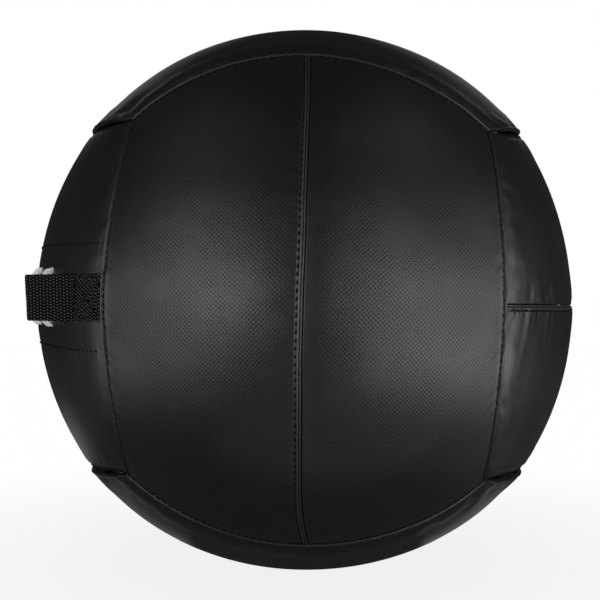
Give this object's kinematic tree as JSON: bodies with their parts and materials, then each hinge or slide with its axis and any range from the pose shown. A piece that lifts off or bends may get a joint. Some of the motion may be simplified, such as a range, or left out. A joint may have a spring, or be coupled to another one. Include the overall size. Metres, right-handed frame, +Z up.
{
  "type": "wall ball",
  "caption": "Soft weighted throwing ball with a sewn cover of pentagon panels, a laced opening on one side and a webbing grab strap over the lacing.",
  "frame": {"origin": "middle of the small flat on the underside that the ball rests on", "axes": "+Z up through the ball's centre; -Y towards the front, whose centre seam stands upright; -X towards the laced opening and its grab strap"},
  "size_m": [0.3625, 0.355, 0.3521],
  "materials": {
    "cover": "black coated cover cloth with a fine embossed grain, satin",
    "patch": "black coated cloth backing, matt",
    "webbing": "black woven polypropylene webbing, matt",
    "cord": "white twisted three strand cord",
    "padding": "grey soft foam sheet",
    "fill": "shredded textile fill",
    "bag": "plain woven cotton cloth",
    "ballast": "loose iron grit and sand"
  },
  "bodies": {
    "root": {"front_left_panel": "cover", "front_right_panel": "cover", "back_left_panel": "cover", "back_right_panel": "cover", "left_lower_panel": "cover", "left_upper_panel": "cover", "right_lower_panel": "cover", "right_upper_panel": "cover", "top_front_panel": "cover", "top_back_panel": "cover", "bottom_front_panel": "cover", "bottom_back_panel": "cover", "lower_lace_patch": "patch", "upper_lace_patch": "patch", "lace_tongue": "patch", "grab_strap": "webbing", "lacing_cord": "cord", "lacing_hitch": "cord", "ballast_bag_tie": "cord", "lower_padding": "padding", "upper_padding": "padding", "lower_fill": "fill", "upper_fill": "fill", "ballast_bag": "bag", "ballast": "ballast"}
  },
  "joints": []
}
